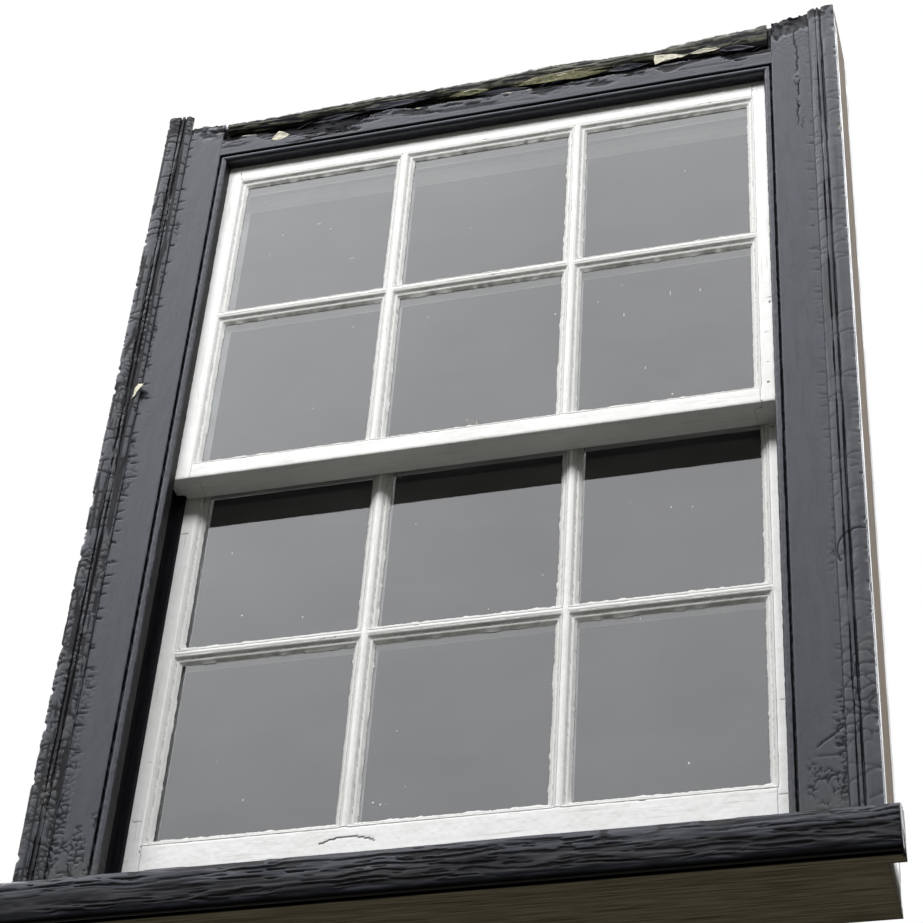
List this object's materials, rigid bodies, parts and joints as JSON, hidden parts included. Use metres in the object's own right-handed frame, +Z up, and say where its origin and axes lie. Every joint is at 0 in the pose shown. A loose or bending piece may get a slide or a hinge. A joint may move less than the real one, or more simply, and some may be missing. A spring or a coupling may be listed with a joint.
{
  "type": "sash window",
  "caption": "Double-hung box sash window with small glazed panes, planted jamb mouldings, a sloping sill, cords over pulleys, hidden weights and a meeting-rail catch.",
  "frame": {"origin": "under the middle of the sill's length, halfway between the nose of the sill and the room side of the inner linings", "axes": "+X along the sill to the right seen from outside, +Y from the street into the room, +Z up"},
  "size_m": [1.096, 0.1634, 1.453],
  "materials": {
    "frame_paint": "gloss",
    "sash_paint": "gloss",
    "bare_pine": "matte",
    "putty": "satin",
    "glass": "polished",
    "cast_iron": "matte",
    "brass": "satin",
    "steel": "satin",
    "cord": "matte"
  },
  "bodies": {
    "window_frame": {"sill": "frame_paint", "outer_lining_left": "frame_paint", "outer_lining_right": "frame_paint", "outer_lining_head": "frame_paint", "architrave_left": "frame_paint", "architrave_right": "frame_paint", "architrave_head": "frame_paint", "pulley_stile_left": "bare_pine", "pulley_stile_right": "bare_pine", "pocket_covers": "bare_pine", "head_board": "bare_pine", "back_linings": "bare_pine", "parting_slips": "bare_pine", "parting_beads": "sash_paint", "parting_bead_head": "sash_paint", "inner_lining_left": "sash_paint", "inner_lining_right": "sash_paint", "inner_lining_head": "sash_paint", "staff_bead_left": "sash_paint", "staff_bead_right": "sash_paint", "staff_bead_head": "sash_paint", "staff_bead_sill": "sash_paint", "pulley_cases": "brass", "frame_screws": "steel", "cord_bends": "cord"},
    "upper_sash": {"upper_stile_left": "sash_paint", "upper_stile_right": "sash_paint", "upper_top_rail": "sash_paint", "upper_meeting_rail": "sash_paint", "upper_bars_upright": "sash_paint", "upper_bars_cross": "sash_paint", "upper_glass": "glass", "upper_putty": "putty", "catch_keeper": "brass", "upper_sash_cords": "cord"},
    "lower_sash": {"lower_stile_left": "sash_paint", "lower_stile_right": "sash_paint", "lower_bottom_rail": "sash_paint", "lower_meeting_rail": "sash_paint", "lower_bars_upright": "sash_paint", "lower_bars_cross": "sash_paint", "lower_glass": "glass", "lower_putty": "putty", "catch_base": "brass", "sash_lifts": "brass", "sash_screws": "steel", "lower_sash_cords": "cord"},
    "catch_lever": {"catch_lever": "brass"},
    "weight_upper_left": {"sash_weight_upper_left": "cast_iron", "weight_cord_upper_left": "cord"},
    "pulley_upper_left": {"pulley_wheel_upper_left": "cast_iron"},
    "weight_upper_right": {"sash_weight_upper_right": "cast_iron", "weight_cord_upper_right": "cord"},
    "pulley_upper_right": {"pulley_wheel_upper_right": "cast_iron"},
    "weight_lower_left": {"sash_weight_lower_left": "cast_iron", "weight_cord_lower_left": "cord"},
    "pulley_lower_left": {"pulley_wheel_lower_left": "cast_iron"},
    "weight_lower_right": {"sash_weight_lower_right": "cast_iron", "weight_cord_lower_right": "cord"},
    "pulley_lower_right": {"pulley_wheel_lower_right": "cast_iron"}
  },
  "joints": [
    {"name": "upper_sash_slide", "type": "slide", "parent": "window_frame", "child": "upper_sash", "axis": [0, 0, 1], "range_m": [-0.6, 0], "deforming": ["upper_sash_cords"]},
    {"name": "lower_sash_slide", "type": "slide", "parent": "window_frame", "child": "lower_sash", "axis": [0, 0, 1], "range_m": [0, 0.52], "deforming": ["lower_sash_cords"]},
    {"name": "weight_upper_left_slide", "type": "slide", "parent": "window_frame", "child": "weight_upper_left", "axis": [0, 0, 1], "range_m": [0, 0.6], "deforming": ["weight_cord_upper_left"]},
    {"name": "pulley_upper_left_spin", "type": "hinge", "parent": "window_frame", "child": "pulley_upper_left", "pos_m": [-0.451, -0.00285, 1.291], "axis": [0, 1, 0], "range_deg": [0, 1403.2]},
    {"name": "weight_upper_right_slide", "type": "slide", "parent": "window_frame", "child": "weight_upper_right", "axis": [0, 0, 1], "range_m": [0, 0.6], "deforming": ["weight_cord_upper_right"]},
    {"name": "pulley_upper_right_spin", "type": "hinge", "parent": "window_frame", "child": "pulley_upper_right", "pos_m": [0.451, -0.00285, 1.291], "axis": [0, 1, 0], "range_deg": [-1403.2, 0]},
    {"name": "weight_lower_left_slide", "type": "slide", "parent": "window_frame", "child": "weight_lower_left", "axis": [0, 0, 1], "range_m": [-0.52, 0], "deforming": ["weight_cord_lower_left"]},
    {"name": "pulley_lower_left_spin", "type": "hinge", "parent": "window_frame", "child": "pulley_lower_left", "pos_m": [-0.451, 0.04285, 1.291], "axis": [0, 1, 0], "range_deg": [-1216.1, 0]},
    {"name": "weight_lower_right_slide", "type": "slide", "parent": "window_frame", "child": "weight_lower_right", "axis": [0, 0, 1], "range_m": [-0.52, 0], "deforming": ["weight_cord_lower_right"]},
    {"name": "pulley_lower_right_spin", "type": "hinge", "parent": "window_frame", "child": "pulley_lower_right", "pos_m": [0.451, 0.04285, 1.291], "axis": [0, 1, 0], "range_deg": [0, 1216.1]},
    {"name": "catch_lever_turn", "type": "hinge", "parent": "lower_sash", "child": "catch_lever", "pos_m": [0, 0.03935, 0.7584], "axis": [0, 0, -1], "range_deg": [0, 90]}
  ],
  "couplings": [
    {"joint": "weight_upper_left_slide", "follows": "upper_sash_slide", "ratio": -1},
    {"joint": "pulley_upper_left_spin", "follows": "upper_sash_slide", "rad_per_m": -40.816},
    {"joint": "weight_upper_right_slide", "follows": "upper_sash_slide", "ratio": -1},
    {"joint": "pulley_upper_right_spin", "follows": "upper_sash_slide", "rad_per_m": 40.816},
    {"joint": "weight_lower_left_slide", "follows": "lower_sash_slide", "ratio": -1},
    {"joint": "pulley_lower_left_spin", "follows": "lower_sash_slide", "rad_per_m": -40.816},
    {"joint": "weight_lower_right_slide", "follows": "lower_sash_slide", "ratio": -1},
    {"joint": "pulley_lower_right_spin", "follows": "lower_sash_slide", "rad_per_m": 40.816}
  ]
}
